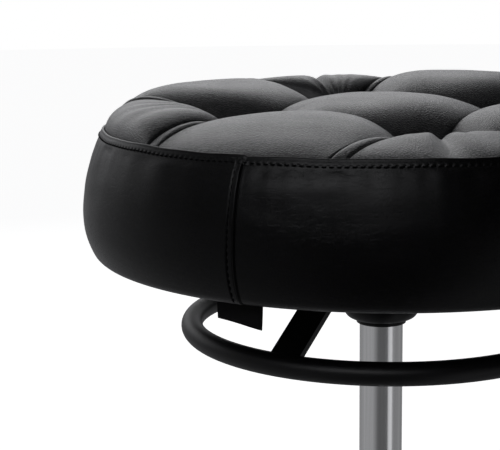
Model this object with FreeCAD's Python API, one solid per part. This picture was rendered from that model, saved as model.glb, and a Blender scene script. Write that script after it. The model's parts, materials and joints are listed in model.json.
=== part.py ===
import FreeCAD, Part
import math
import os

# Round tufted stool on a gas lift, with a ring lever under the seat and a five-star base on casters.
# Millimetres and degrees. +Z is up, the origin is on the floor on the axis of the gas lift.
# The front of the seat faces -Y. The lift stands at full height.

V = FreeCAD.Vector
ORIGIN = V(0, 0, 0)
UP = V(0, 0, 1)

# Clearances
RUNNING = 0.05
SEATED = 0.05
LOOSE = 0.3
OVERCUT = 1.0

# Casters
CASTER_COUNT = 5
CASTER_CIRCLE_R = 240.0
FIRST_LEG_DEG = -90.0
CASTER_HEADING_DEG = 115.0
TRAIL = 19.0
WHEEL_R = 25.0
WHEEL_WIDTH = 17.0
WHEEL_ROUND = 4.0
WHEEL_RIM = 6.0
WHEEL_DISH = 2.0
WHEEL_BOSS_R = 8.0
WHEEL_CAP = 4.0
WHEEL_SIDE_GAP = 0.6
AXLE_R = 3.0
WEB_WIDTH = 16.0
WEB_R = 20.0
FENDER_GAP = 1.2
FENDER_WALL = 2.0
FENDER_ROUND = 1.5
RIB_ROUND = 0.5
FENDER_START_DEG = 8.0
FENDER_SWEEP_DEG = 166.0
PIVOT_R = 4.0
PIVOT_LENGTH = 26.0
HOOD_BOSS_RISE = 1.0
STEM_R = 5.5
STEM_LENGTH = 22.0
STEM_FLANGE_R = 8.0
STEM_FLANGE = 2.0

# Star base
SOCKET_WALL = 2.0
SOCKET_FLANGE = 1.5
SOCKET_FLANGE_R = 10.5
SOCKET_LENGTH = 24.0
LEG_TIP_R = 14.0
LEG_TIP_HEIGHT = 27.0
LEG_TIP_WIDTH = 24.0
LEG_TIP_ROUND = 3.0
LEG_ROOT_HEIGHT = 44.0
LEG_ROOT_WIDTH = 36.0
LEG_ROOT_RISE = 6.0
LEG_ROUND = 7.0
LEG_WALL = 3.0
HUB_R = 34.0
HUB_HEIGHT = 58.0
HUB_ROUND = 3.0

# Gas lift
STROKE = 130.0
TUBE_R = 25.0
TUBE_WALL = 2.0
TUBE_TAPER = 0.02
TUBE_PROUD = 3.0
TUBE_FLOOR = 3.0
WASHER_R = 9.0
WASHER = 1.5
BALL_R = 1.5
BALL_CIRCLE_R = 6.8
BALL_COUNT = 8
ROD_R = 5.0
ROD_NECK_R = 4.0
ROD_TAIL = 2.0
CLIP_R = 8.5
CLIP = 1.5
BUMP_R = 10.0
BUMP_HEIGHT = 10.0
BUMP_SPARE = 4.0
PISTON_HEIGHT = 8.0
COLUMN_R = 14.0
COLUMN_WALL = 1.5
COLUMN_TAPER = 0.033
COLUMN_TAIL = 7.0
COLUMN_CAP = 42.0
GLAND_HEIGHT = 8.0
BUSH_LENGTH = 68.0
BUSH_FLANGE = 2.0
LOWEST_GAP = 2.5
PIN_R = 3.0
PIN_PROUD = 3.8
PIN_DOME = 0.8
PIN_INSIDE = 8.0

# Socket, mounting plate and ring lever
TAPER_DEPTH = 36.3
SOCKET_TUBE_R = 16.0
SOCKET_TUBE_LENGTH = 34.0
CUP_RISE = 2.9
CUP_R = 24.2
CUP_ROUND = 6.5
CUP_WALL = 2.0
BRACKET_RISE = 26.0
BRACKET_R = 34.0
BRACKET = 2.5
BRACKET_TAB_WIDTH = 22.0
STANDOFF_GAP = 4.0
STANDOFF_R = 6.0
PIN_GAP = 0.1
LEVER_DISC = 3.0
LEVER_DISC_R = 60.0
FULCRUM_GAP = 0.1
FULCRUM_CIRCLE_R = 45.0
FULCRUM_BEAD_R = 3.0
FULCRUM_HEIGHT = 4.0
PLATE = 3.0
PLATE_R = 98.0
BOLT_CIRCLE_R = 86.0
BOLT_COUNT = 4
BOLT_FIRST_DEG = 64.0
BOLT_R = 3.0
BOLT_HEAD_R = 5.5
BOLT_HEAD = 4.0
BOLT_SPARE = 2.0
BOLT_HOLE_GAP = 0.4
ARM_COUNT = 3
FIRST_ARM_DEG = -117.5
ARM_WIDTH = 19.6
ARM_THICK = 4.0
ARM_END_RISE = 1.5
RING_R = 122.9
RING_TUBE_R = 6.95
RING_WALL = 1.5
RING_DROP = 41.1

# Seat
COVER = 1.6
SEAT_R = 188.7
SEAM_R = 176.5
BAND_HEIGHT = 78.0
BELLY_HEIGHT = 25.5
BELLY_ROUND = 49.4
CORNER_ROUND = 9.0
WRAP_WIDTH = 26.2
HEM_HEIGHT = 5.0
HEM_PROUD = 0.8
CROWN_HEIGHT = 20.5
CREST_WIDTH = 40.5
CREST_SPARE = 2.0
SKIRT = 14.0
TUFT_PITCH = 124.0
TUFT_TURN_DEG = -26.0
VALLEY_DROP = 11.0
BOARD = 15.0
BOARD_GAP = 1.2
DUST_COVER = 0.8
DUST_COVER_LAP = 12.0
TEE_FLANGE_R = 9.5
TEE_FLANGE = 1.5
TEE_BARREL_WALL = 1.2
TEE_BARREL_LENGTH = 9.0
CORD_R = 1.2
CORD_WASHER_R = 6.0
CORD_WASHER = 1.2
STAPLE_COUNT = 24
STAPLE_CROWN = 10.0
STAPLE_WIRE = 0.8
LABEL_DEG = -116.0
LABEL_INSET = 7.2
LABEL_WIDTH = 29.0
LABEL_DROP = 14.5
LABEL_THICK = 0.8

# Heights from the floor up
axle_z = WHEEL_R
fender_inner_r = WHEEL_R + FENDER_GAP
fender_outer_r = fender_inner_r + FENDER_WALL
hood_top_z = axle_z + fender_outer_r + HOOD_BOSS_RISE
stem_flange_z = hood_top_z + LOOSE
socket_flange_z = stem_flange_z + STEM_FLANGE
leg_tip_z = socket_flange_z + SOCKET_FLANGE
leg_root_z = leg_tip_z + LEG_ROOT_RISE
hub_z = leg_tip_z
hub_top_z = hub_z + HUB_HEIGHT
tube_z = hub_z - TUBE_PROUD
lower_washer_z = tube_z + TUBE_FLOOR
ball_z = lower_washer_z + WASHER + RUNNING + BALL_R
upper_washer_z = ball_z + BALL_R + RUNNING
shoulder_z = upper_washer_z + WASHER
bump_top_z = shoulder_z + BUMP_HEIGHT
column_z = bump_top_z + BUMP_SPARE + STROKE
bush_z = column_z + COLUMN_TAIL
tube_top_z = bush_z + BUSH_LENGTH
bush_top_z = tube_top_z + BUSH_FLANGE
lip_z = bush_top_z + LOWEST_GAP + STROKE
column_top_z = lip_z + TAPER_DEPTH
pin_top_z = column_top_z + PIN_PROUD
disc_z = pin_top_z + PIN_GAP
disc_top_z = disc_z + LEVER_DISC
fulcrum_z = disc_top_z + FULCRUM_GAP
plate_z = fulcrum_z + FULCRUM_HEIGHT
plate_top_z = plate_z + PLATE
seat_z = plate_top_z + DUST_COVER
board_z = seat_z + COVER
board_top_z = board_z + BOARD
seam_z = seat_z + BAND_HEIGHT
crown_z = seam_z + CROWN_HEIGHT
ring_z = disc_z + LEVER_DISC / 2 - RING_DROP
bracket_z = lip_z + BRACKET_RISE
tube_taper_top_z = hub_top_z + TUBE_PROUD


def polar(radius, degrees, z=0.0):
    """Point at a radius and angle about the column axis."""
    angle = math.radians(degrees)
    return V(radius * math.cos(angle), radius * math.sin(angle), z)


def spread(count, first):
    """Angles of count equal steps round a circle."""
    return [first + 360.0 * k / count for k in range(count)]


def bend(centre, radius, start, end):
    """Step of an outline along an arc: its middle and end point, from angles in degrees."""
    def at(degrees):
        angle = math.radians(degrees)
        return (centre[0] + radius * math.cos(angle), centre[1] + radius * math.sin(angle))
    return (at((start + end) / 2), at(end))


def outline(start, *steps):
    """Closed face in the XZ plane. A step is a point, or an arc's middle and end point."""
    def point(pair):
        return V(pair[0], 0, pair[1])
    edges = []
    here = start
    for step in steps:
        if isinstance(step[0], tuple):
            edges.append(Part.Arc(point(here), point(step[0]), point(step[1])).toShape())
            here = step[1]
        else:
            edges.append(Part.LineSegment(point(here), point(step)).toShape())
            here = step
    if math.dist(here, start) > 1e-6:
        edges.append(Part.LineSegment(point(here), point(start)).toShape())
    return Part.Face(Part.Wire(edges))


def turned(start, *steps):
    """Solid of revolution about Z of an outline in radius and height."""
    return outline(start, *steps).revolve(ORIGIN, UP, 360)


def ring(inner_r, outer_r, low, high):
    """Plain ring about Z."""
    return turned((inner_r, low), (outer_r, low), (outer_r, high), (inner_r, high))


def post(radius, low, high, at=ORIGIN):
    """Upright cylinder."""
    return Part.makeCylinder(radius, high - low, V(at.x, at.y, low), UP)


def about_z(shape, degrees):
    """Copy of a shape turned about the column axis."""
    copy = shape.copy()
    copy.rotate(ORIGIN, UP, degrees)
    return copy


def group(solids):
    """Several separate solids in one node."""
    return Part.makeCompound(solids)


# Casters, made with the swivel axis on Z and the axle behind it at -X

wheel_inner_y = WEB_WIDTH / 2 + WHEEL_SIDE_GAP
axle_half = wheel_inner_y + WHEEL_WIDTH - WHEEL_CAP - LOOSE
axle_at = V(-TRAIL, 0, axle_z)


def caster_sector(half_width, inner_r, outer_r, edge_round):
    """Band round the axle over the top of the wheels, with its outer edges rounded."""
    flat = half_width - edge_round
    rim = outer_r - edge_round
    profile = [
        Part.LineSegment(V(inner_r, -half_width, 0), V(inner_r, half_width, 0)),
        Part.LineSegment(V(inner_r, half_width, 0), V(rim, half_width, 0)),
        Part.Arc(V(rim, half_width, 0), round_corner(rim, flat, edge_round, 45), V(outer_r, flat, 0)),
        Part.LineSegment(V(outer_r, flat, 0), V(outer_r, -flat, 0)),
        Part.Arc(V(outer_r, -flat, 0), round_corner(rim, -flat, edge_round, -45), V(rim, -half_width, 0)),
        Part.LineSegment(V(rim, -half_width, 0), V(inner_r, -half_width, 0)),
    ]
    face = Part.Face(Part.Wire([edge.toShape() for edge in profile]))
    face.rotate(ORIGIN, V(0, -1, 0), FENDER_START_DEG)
    face.translate(axle_at)
    return face.revolve(axle_at, V(0, -1, 0), FENDER_SWEEP_DEG)


def round_corner(x, y, radius, degrees):
    """Middle point of a rounded corner."""
    angle = math.radians(degrees)
    return V(x + radius * math.cos(angle), y + radius * math.sin(angle), 0)


def caster_hood():
    """Fender over both wheels, web between them and boss for the stem's pivot."""
    fender = caster_sector(wheel_inner_y + WHEEL_WIDTH, fender_inner_r, fender_outer_r, FENDER_ROUND)
    rib = caster_sector(WEB_WIDTH / 2, AXLE_R, fender_inner_r + FENDER_WALL / 2, RIB_ROUND)
    web = Part.makeCylinder(WEB_R, WEB_WIDTH, axle_at - V(0, WEB_WIDTH / 2, 0), V(0, 1, 0))
    boss = post(WEB_WIDTH / 2, hood_top_z - PIVOT_LENGTH - FENDER_WALL, hood_top_z)
    pivot_bore = post(PIVOT_R + RUNNING, hood_top_z - PIVOT_LENGTH - LOOSE, hood_top_z + OVERCUT)
    axle_bore = Part.makeCylinder(AXLE_R + SEATED, 2 * WEB_WIDTH, axle_at - V(0, WEB_WIDTH, 0), V(0, 1, 0))
    return fender.multiFuse([rib, web, boss]).cut(pivot_bore).cut(axle_bore).removeSplitter()


def caster_axle():
    return Part.makeCylinder(AXLE_R, 2 * axle_half, axle_at - V(0, axle_half, 0), V(0, 1, 0))


def caster_wheel(side):
    """Wheel with a rounded tread and a dished outer face; side is 1 or -1."""
    edge = WHEEL_R - WHEEL_ROUND
    outer = WHEEL_WIDTH - WHEEL_ROUND
    dish = WHEEL_WIDTH - WHEEL_DISH
    bore = AXLE_R + RUNNING
    wheel = turned(
        (bore, 0),
        (edge, 0),
        bend((edge, WHEEL_ROUND), WHEEL_ROUND, -90, 0),
        (WHEEL_R, outer),
        bend((edge, outer), WHEEL_ROUND, 0, 90),
        (WHEEL_R - WHEEL_RIM, WHEEL_WIDTH),
        (WHEEL_R - WHEEL_RIM - WHEEL_DISH, dish),
        (WHEEL_BOSS_R + WHEEL_DISH, dish),
        (WHEEL_BOSS_R, WHEEL_WIDTH),
        (0, WHEEL_WIDTH),
        (0, WHEEL_WIDTH - WHEEL_CAP),
        (bore, WHEEL_WIDTH - WHEEL_CAP),
    )
    wheel.rotate(ORIGIN, V(1, 0, 0), -90 * side)
    wheel.translate(axle_at + V(0, side * wheel_inner_y, 0))
    return wheel


def caster_stem():
    """Pivot pin in the hood, flange, and stem in the leg's socket."""
    stem_z = stem_flange_z + STEM_FLANGE
    return turned(
        (0, hood_top_z - PIVOT_LENGTH),
        (PIVOT_R, hood_top_z - PIVOT_LENGTH),
        (PIVOT_R, stem_flange_z),
        (STEM_FLANGE_R, stem_flange_z),
        (STEM_FLANGE_R, stem_z),
        (STEM_R, stem_z),
        (STEM_R, stem_z + STEM_LENGTH),
        (0, stem_z + STEM_LENGTH),
    )


def caster_socket():
    """Plastic sleeve in the leg's tip that grips the stem."""
    inner = STEM_R + SEATED
    outer = STEM_R + SOCKET_WALL
    return turned(
        (inner, socket_flange_z),
        (SOCKET_FLANGE_R, socket_flange_z),
        (SOCKET_FLANGE_R, leg_tip_z),
        (outer, leg_tip_z),
        (outer, leg_tip_z + SOCKET_LENGTH),
        (inner, leg_tip_z + SOCKET_LENGTH),
    )


def at_leg_tip(shape, leg_deg, heading_deg=0.0):
    """Copy of a caster piece, turned to its heading and set under a leg's tip."""
    copy = about_z(shape, leg_deg + heading_deg)
    copy.translate(polar(CASTER_CIRCLE_R, leg_deg))
    return copy


# Star base and outer tube of the gas lift

def leg_section(x, width, low, high, radius):
    """Rounded rectangle across a leg that runs along X."""
    half = width / 2
    corners = [(half - radius, low + radius, -90), (half - radius, high - radius, 0),
               (radius - half, high - radius, 90), (radius - half, low + radius, 180)]
    edges = []
    ends = []
    for y, z, start in corners:
        def at(degrees):
            angle = math.radians(degrees)
            return V(x, y + radius * math.cos(angle), z + radius * math.sin(angle))
        edges.append(Part.Arc(at(start), at(start + 45), at(start + 90)).toShape())
        ends.append((at(start), at(start + 90)))
    joined = []
    for k, edge in enumerate(edges):
        joined.append(edge)
        joined.append(Part.LineSegment(ends[k][1], ends[(k + 1) % len(ends)][0]).toShape())
    return Part.Wire(joined)


def leg_hollow_section(x, width, low, high):
    """Square channel that opens the leg from below."""
    half = width / 2
    corners = [V(x, -half, low), V(x, half, low), V(x, half, high), V(x, -half, high)]
    return Part.makePolygon(corners + corners[:1])


def base_leg():
    """Pressed leg along X: tapering shell, open below, with a boss at its tip for the caster's socket."""
    tip_top = leg_tip_z + LEG_TIP_HEIGHT
    root_top = leg_root_z + LEG_ROOT_HEIGHT
    shell = Part.makeLoft([
        leg_section(0, LEG_ROOT_WIDTH, leg_root_z, root_top, LEG_ROUND),
        leg_section(CASTER_CIRCLE_R, LEG_TIP_WIDTH, leg_tip_z, tip_top, LEG_ROUND)], True, True)
    boss = turned(
        (0, leg_tip_z),
        (LEG_TIP_R, leg_tip_z),
        (LEG_TIP_R, tip_top - LEG_TIP_ROUND),
        bend((LEG_TIP_R - LEG_TIP_ROUND, tip_top - LEG_TIP_ROUND), LEG_TIP_ROUND, 0, 90),
        (0, tip_top),
    )
    tip_at = V(CASTER_CIRCLE_R, 0, 0)
    boss.translate(tip_at)
    hollow_start = HUB_R + LEG_WALL
    hollow_end = CASTER_CIRCLE_R - LEG_TIP_R
    def along(root, tip, x):
        return root + (tip - root) * x / CASTER_CIRCLE_R
    hollow = Part.makeLoft([
        leg_hollow_section(x, along(LEG_ROOT_WIDTH, LEG_TIP_WIDTH, x) - 2 * LEG_WALL,
                           along(leg_root_z, leg_tip_z, x) - LEG_WALL,
                           along(root_top, tip_top, x) - LEG_WALL)
        for x in (hollow_start, hollow_end)], True, True)
    bore_r = STEM_R + SOCKET_WALL + SEATED
    bore = post(bore_r, leg_tip_z - OVERCUT, leg_tip_z + SOCKET_LENGTH + LOOSE, tip_at)
    hub_room = post(HUB_R + SEATED, hub_z - OVERCUT, hub_top_z + OVERCUT)
    return shell.cut(hollow).fuse(boss).cut(bore).cut(hub_room).removeSplitter()


def tube_radius(z):
    """Outside radius of the outer tube, which tapers where it sits in the hub."""
    return TUBE_R - TUBE_TAPER * max(0.0, tube_taper_top_z - z)


def base_hub():
    """Hub with a tapered bore for the gas lift."""
    low_r = tube_radius(hub_z) + SEATED
    top_r = tube_radius(hub_top_z) + SEATED
    rim = HUB_R - HUB_ROUND
    return turned(
        (low_r, hub_z),
        (rim, hub_z),
        bend((rim, hub_z + HUB_ROUND), HUB_ROUND, -90, 0),
        (HUB_R, hub_top_z - HUB_ROUND),
        bend((rim, hub_top_z - HUB_ROUND), HUB_ROUND, 0, 90),
        (top_r, hub_top_z),
    )


def outer_tube():
    """Outer tube of the gas lift with its tapered foot and holed floor."""
    foot_r = tube_radius(tube_z)
    return turned(
        (ROD_NECK_R + LOOSE, tube_z),
        (foot_r, tube_z),
        (TUBE_R, tube_taper_top_z),
        (TUBE_R, tube_top_z),
        (TUBE_R - TUBE_WALL, tube_top_z),
        (TUBE_R - TUBE_WALL, tube_taper_top_z),
        (foot_r - TUBE_WALL, tube_z + TUBE_FLOOR),
        (ROD_NECK_R + LOOSE, tube_z + TUBE_FLOOR),
    )


def guide_bush():
    """Plastic bush in the top of the outer tube that guides the column."""
    inner = COLUMN_R + RUNNING
    outer = TUBE_R - TUBE_WALL - SEATED
    return turned(
        (inner, bush_z),
        (outer, bush_z),
        (outer, tube_top_z),
        (TUBE_R, tube_top_z),
        (TUBE_R - BUSH_FLANGE, bush_top_z),
        (inner, bush_top_z),
    )


# Gas lift

def column_radius(z):
    """Outside radius of the column, which tapers inside the socket."""
    return COLUMN_R - COLUMN_TAPER * max(0.0, z - lip_z)


def lift_column():
    """Inner column: a pressure tube with a solid tapered head."""
    bore = COLUMN_R - COLUMN_WALL
    cap_z = column_top_z - COLUMN_CAP
    pin_bore = PIN_R + RUNNING
    return turned(
        (bore, column_z),
        (COLUMN_R, column_z),
        (COLUMN_R, lip_z),
        (column_radius(column_top_z), column_top_z),
        (pin_bore, column_top_z),
        (pin_bore, cap_z),
        (bore, cap_z),
    )


def column_gland():
    """Ring that closes the foot of the column round the piston rod."""
    return ring(ROD_R + RUNNING, COLUMN_R - COLUMN_WALL - SEATED, column_z, column_z + GLAND_HEIGHT)


def valve_pin():
    """Domed pin in the head of the column that opens the valve."""
    rim_z = pin_top_z - PIN_DOME
    dome_r = (PIN_R ** 2 + PIN_DOME ** 2) / (2 * PIN_DOME)
    half_r = PIN_R / 2
    half_z = pin_top_z - dome_r + math.sqrt(dome_r ** 2 - half_r ** 2)
    foot_z = column_top_z - COLUMN_CAP - PIN_INSIDE
    return turned(
        (0, foot_z),
        (PIN_R, foot_z),
        (PIN_R, rim_z),
        ((half_r, half_z), (0, pin_top_z)),
    )


piston_z = column_z + GLAND_HEIGHT + LOOSE
rod_z = tube_z - LOOSE - CLIP - ROD_TAIL


def lift_rod():
    """Piston rod with a thinner neck through the bearing."""
    return turned(
        (0, rod_z),
        (ROD_NECK_R, rod_z),
        (ROD_NECK_R, shoulder_z),
        (ROD_R, shoulder_z),
        (ROD_R, piston_z),
        (0, piston_z),
    )


def lift_piston():
    return post(COLUMN_R - COLUMN_WALL - RUNNING, piston_z, piston_z + PISTON_HEIGHT)


def bump_stop():
    return ring(ROD_R + SEATED, BUMP_R, shoulder_z, bump_top_z)


def bearing_balls():
    return group([Part.makeSphere(BALL_R, polar(BALL_CIRCLE_R, degrees, ball_z))
                  for degrees in spread(BALL_COUNT, 0.0)])


def upper_washer():
    return ring(ROD_NECK_R + SEATED, WASHER_R, upper_washer_z, shoulder_z)


def lower_washer():
    return ring(ROD_NECK_R + LOOSE, WASHER_R, lower_washer_z, lower_washer_z + WASHER)


def rod_clip():
    return ring(ROD_NECK_R + SEATED, CLIP_R, tube_z - LOOSE - CLIP, tube_z - LOOSE)


# Socket, mounting plate and ring lever

def socket_tube():
    """Tube with the tapered bore that sits on the column's head."""
    top_z = lip_z + SOCKET_TUBE_LENGTH
    return turned(
        (column_radius(lip_z) + SEATED, lip_z),
        (SOCKET_TUBE_R, lip_z),
        (SOCKET_TUBE_R, top_z),
        (column_radius(top_z) + SEATED, top_z),
    )


arm_angles = spread(ARM_COUNT, FIRST_ARM_DEG)
standoff_angles = [degrees + 180.0 / ARM_COUNT for degrees in arm_angles]


standoff_circle_r = LEVER_DISC_R + STANDOFF_GAP + STANDOFF_R


def socket_bracket():
    """Cup round the socket tube with a flange and a tab for each standoff."""
    foot_z = lip_z + CUP_RISE
    round_at = (CUP_R - CUP_ROUND, foot_z + CUP_ROUND)
    inner = SOCKET_TUBE_R + SEATED
    cup = turned(
        (inner, foot_z),
        (round_at[0], foot_z),
        bend(round_at, CUP_ROUND, -90, 0),
        (CUP_R, bracket_z),
        (BRACKET_R, bracket_z),
        (BRACKET_R, bracket_z + BRACKET),
        (CUP_R - CUP_WALL, bracket_z + BRACKET),
        (CUP_R - CUP_WALL, round_at[1]),
        bend(round_at, CUP_ROUND - CUP_WALL, 0, -90),
        (inner, foot_z + CUP_WALL),
    )
    half = BRACKET_TAB_WIDTH / 2
    strip = Part.makeBox(standoff_circle_r - CUP_R, BRACKET_TAB_WIDTH, BRACKET, V(CUP_R, -half, bracket_z))
    tab = strip.fuse(post(half, bracket_z, bracket_z + BRACKET, V(standoff_circle_r, 0, 0)))
    return cup.multiFuse([about_z(tab, degrees) for degrees in standoff_angles]).removeSplitter()


def socket_standoffs():
    """Posts that carry the bracket under the mounting plate."""
    return group([post(STANDOFF_R, bracket_z + BRACKET, plate_z, polar(standoff_circle_r, degrees))
                  for degrees in standoff_angles])


def fulcrum_ring():
    """Half-round bead under the mounting plate that the lever disc rocks on."""
    flat = math.sqrt(FULCRUM_BEAD_R ** 2 - (FULCRUM_HEIGHT - FULCRUM_BEAD_R) ** 2)
    bead_z = fulcrum_z + FULCRUM_BEAD_R
    tilt = math.degrees(math.atan2(plate_z - bead_z, flat))
    bead = (FULCRUM_CIRCLE_R, bead_z)
    return turned(
        (FULCRUM_CIRCLE_R - flat, plate_z),
        bend(bead, FULCRUM_BEAD_R, 180 - tilt, 270),
        bend(bead, FULCRUM_BEAD_R, 270, 360 + tilt),
    )


bolt_angles = spread(BOLT_COUNT, BOLT_FIRST_DEG)


def bolt_holes(radius, low, high):
    """Cutters for the four bolts."""
    return [post(radius, low, high, polar(BOLT_CIRCLE_R, degrees)) for degrees in bolt_angles]


def mounting_plate():
    disc = post(PLATE_R, plate_z, plate_top_z)
    return disc.cut(bolt_holes(BOLT_R + BOLT_HOLE_GAP, plate_z - OVERCUT, plate_top_z + OVERCUT))


def hexagon(radius, low, high, at):
    """Bolt head."""
    points = [at + polar(radius, 60 * k, low) for k in range(7)]
    return Part.Face(Part.makePolygon(points)).extrude(V(0, 0, high - low))


def plate_bolts():
    """Bolts from under the plate into the tee nuts."""
    bolts = []
    for degrees in bolt_angles:
        at = polar(BOLT_CIRCLE_R, degrees)
        shank = post(BOLT_R, plate_z, board_top_z + TEE_FLANGE + BOLT_SPARE, at)
        head = hexagon(BOLT_HEAD_R, plate_z - BOLT_HEAD, plate_z, at)
        bolts.append(shank.fuse(head))
    return group(bolts)


def lever_disc():
    return post(LEVER_DISC_R, disc_z, disc_top_z)


def release_ring():
    """Closed ring of round tube."""
    outer = Part.makeTorus(RING_R, RING_TUBE_R, V(0, 0, ring_z))
    return outer.cut(Part.makeTorus(RING_R, RING_TUBE_R - RING_WALL, V(0, 0, ring_z)))


def lever_arms():
    """Flat bars that slope from the lever disc down to the ring."""
    start = V(LEVER_DISC_R, 0, disc_z + LEVER_DISC / 2)
    end = V(RING_R, 0, ring_z + ARM_END_RISE)
    run = (end - start).normalize()
    start = start - run * ARM_THICK
    side = V(-run.z, 0, run.x) * (ARM_THICK / 2)
    half = V(0, ARM_WIDTH / 2, 0)
    corners = [start + side, end + side, end - side, start - side, start + side]
    bar = Part.Face(Part.makePolygon([corner - half for corner in corners])).extrude(half * 2)
    disc_room = post(LEVER_DISC_R + SEATED, disc_z - ARM_THICK * 2, disc_top_z + ARM_THICK * 2)
    ring_room = Part.makeTorus(RING_R, RING_TUBE_R + SEATED, V(0, 0, ring_z))
    bar = bar.cut(disc_room).cut(ring_room)
    return group([about_z(bar, degrees) for degrees in arm_angles])


# Seat

belly_z = seat_z + BELLY_HEIGHT
shoulder_dr = SEAT_R - SEAM_R
shoulder_dz = seam_z - belly_z
shoulder_round = (shoulder_dr ** 2 + shoulder_dz ** 2) / (2 * shoulder_dr)
shoulder_at = (SEAT_R - shoulder_round, belly_z)
belly_at = (SEAT_R - BELLY_ROUND, belly_z)
corner_dz = belly_z - seat_z - CORNER_ROUND
corner_dr = math.sqrt((BELLY_ROUND - CORNER_ROUND) ** 2 - corner_dz ** 2)
corner_at = (belly_at[0] + corner_dr, seat_z + CORNER_ROUND)
corner_deg = math.degrees(math.atan2(-corner_dz, corner_dr))
floor_r = corner_at[0]
wrap_r = floor_r - WRAP_WIDTH
board_r = floor_r - BOARD_GAP
label_circle_r = floor_r - LABEL_INSET
dust_cover_r = wrap_r + DUST_COVER_LAP
staple_circle_r = dust_cover_r - DUST_COVER_LAP / 2
crest_r = SEAM_R - CREST_WIDTH


def side_steps(inset, low_z, high_z):
    """Side of the seat between two heights: the corner, belly and shoulder arcs that lie there."""
    arcs = [
        (corner_at, CORNER_ROUND - inset, -90.0, corner_deg),
        (belly_at, BELLY_ROUND - inset, corner_deg, 0.0),
        (shoulder_at, shoulder_round - inset, 0.0, 90.0),
    ]
    steps = []
    for centre, radius, start, end in arcs:
        low = max(start, level_deg(low_z, centre[1], radius))
        high = min(end, level_deg(high_z, centre[1], radius))
        if low < high:
            if not steps:
                steps.append(bend(centre, radius, low, low)[1])
            steps.append(bend(centre, radius, low, high))
    return steps


def level_deg(z, centre_z, radius):
    """Angle at which a circle reaches a height, or its lowest or highest angle."""
    return math.degrees(math.asin(max(-1.0, min(1.0, (z - centre_z) / radius))))


def backwards(steps):
    """The same line from its end to its start."""
    ends = [steps[0]] + [step[1] for step in steps[1:]]
    back = [ends[-1]]
    for step, end in zip(reversed(steps[1:]), reversed(ends[:-1])):
        back.append((step[0], end))
    return back


def side_band():
    """Side of the cover, turned under the board, with the folded seam strip along its top edge."""
    hem_z = seam_z - HEM_HEIGHT
    outside = side_steps(0, seat_z, hem_z)
    inside = side_steps(COVER, seat_z + COVER, seam_z)
    return turned(
        (wrap_r, seat_z),
        *outside,
        (outside[-1][1][0] + HEM_PROUD, hem_z),
        (SEAM_R + HEM_PROUD, seam_z),
        *backwards(inside),
        (wrap_r, seat_z + COVER),
    )


top_r = side_steps(COVER, seat_z + COVER, seam_z)[-1][1][0] - SEATED
crest_top_z = crown_z + CREST_SPARE
crest_dr = top_r - crest_r
crest_dz = crest_top_z - seam_z
crest_round = (crest_dr ** 2 + crest_dz ** 2) / (2 * crest_dz)
crest_at = (crest_r, crest_top_z - crest_round)


def crest_steps(inset):
    """Rounded edge of the top panel, from the seam up to the flat over the domes."""
    radius = crest_round - inset
    edge_deg = math.degrees(math.acos((top_r - inset - crest_r) / radius))
    return [bend(crest_at, radius, edge_deg, edge_deg)[1],
            bend(crest_at, radius, edge_deg, 90),
            (0, crest_top_z - inset)]


puff_r = ((TUFT_PITCH / 2) ** 2 + VALLEY_DROP ** 2) / (2 * VALLEY_DROP)
tuft_r = TUFT_PITCH / math.sqrt(2)
tuft_z = crown_z - puff_r + math.sqrt(puff_r ** 2 - tuft_r ** 2)
tuft_angles = spread(4, TUFT_TURN_DEG + 45.0)


def puffs(sink, low_z):
    """Grid of domed cells whose domes meet in straight valleys, with a tuft at each crossing."""
    cells = []
    for column in (-1, 0, 1):
        for row in (-1, 0, 1):
            at = V(column * TUFT_PITCH, row * TUFT_PITCH, 0)
            dome = Part.makeSphere(puff_r, at + V(0, 0, crown_z - sink - puff_r))
            corner = at + V(-TUFT_PITCH / 2, -TUFT_PITCH / 2, low_z)
            cell = Part.makeBox(TUFT_PITCH, TUFT_PITCH, crown_z - low_z, corner)
            cells.append(dome.common(cell))
    field = cells[0].multiFuse(cells[1:]).removeSplitter()
    return about_z(field, TUFT_TURN_DEG)


def top_cover():
    """Tufted top panel with its edge turned down inside the band."""
    skirt_z = seam_z - SKIRT
    outside = turned((0, skirt_z), (top_r, skirt_z), *crest_steps(0)).common(puffs(0, skirt_z))
    low_z = skirt_z - COVER
    inside = turned((0, low_z), (top_r - COVER, low_z), *crest_steps(COVER)).common(puffs(COVER, low_z))
    return outside.cut(inside)


def cord_holes(low, high):
    """Cutters for the tuft cords."""
    return [post(CORD_R + LOOSE, low, high, polar(tuft_r, degrees)) for degrees in tuft_angles]


def seat_foam():
    """Foam under the cover, on the board, with room for the tee nuts and the tuft cords."""
    inset = COVER + LOOSE
    step_z = seam_z - SKIRT - LOOSE
    body = turned(
        (0, board_top_z),
        *side_steps(inset, board_top_z, step_z),
        (top_r - inset, step_z),
        *crest_steps(inset),
    )
    foam = body.common(puffs(inset, board_z))
    nut_room = bolt_holes(TEE_FLANGE_R + LOOSE, board_z, board_top_z + TEE_FLANGE + BOLT_SPARE + LOOSE)
    return foam.cut(nut_room + cord_holes(board_z, crown_z))


def tuft_cords():
    """Cords that draw the tufts down to the board, each with a washer under it."""
    cords = []
    for degrees in tuft_angles:
        at = polar(tuft_r, degrees)
        cord = post(CORD_R, board_z, tuft_z - COVER - SEATED, at)
        washer = post(CORD_WASHER_R, board_z - CORD_WASHER, board_z, at)
        cords.append(cord.fuse(washer))
    return group(cords)


tee_barrel_r = BOLT_R + SEATED + TEE_BARREL_WALL


def seat_board():
    """Plywood disc with holes for the tee nuts and the tuft cords."""
    board = post(board_r, board_z, board_top_z)
    nut_holes = bolt_holes(tee_barrel_r + SEATED, board_z - OVERCUT, board_top_z + OVERCUT)
    return board.cut(nut_holes + cord_holes(board_z - OVERCUT, board_top_z + OVERCUT))


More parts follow.
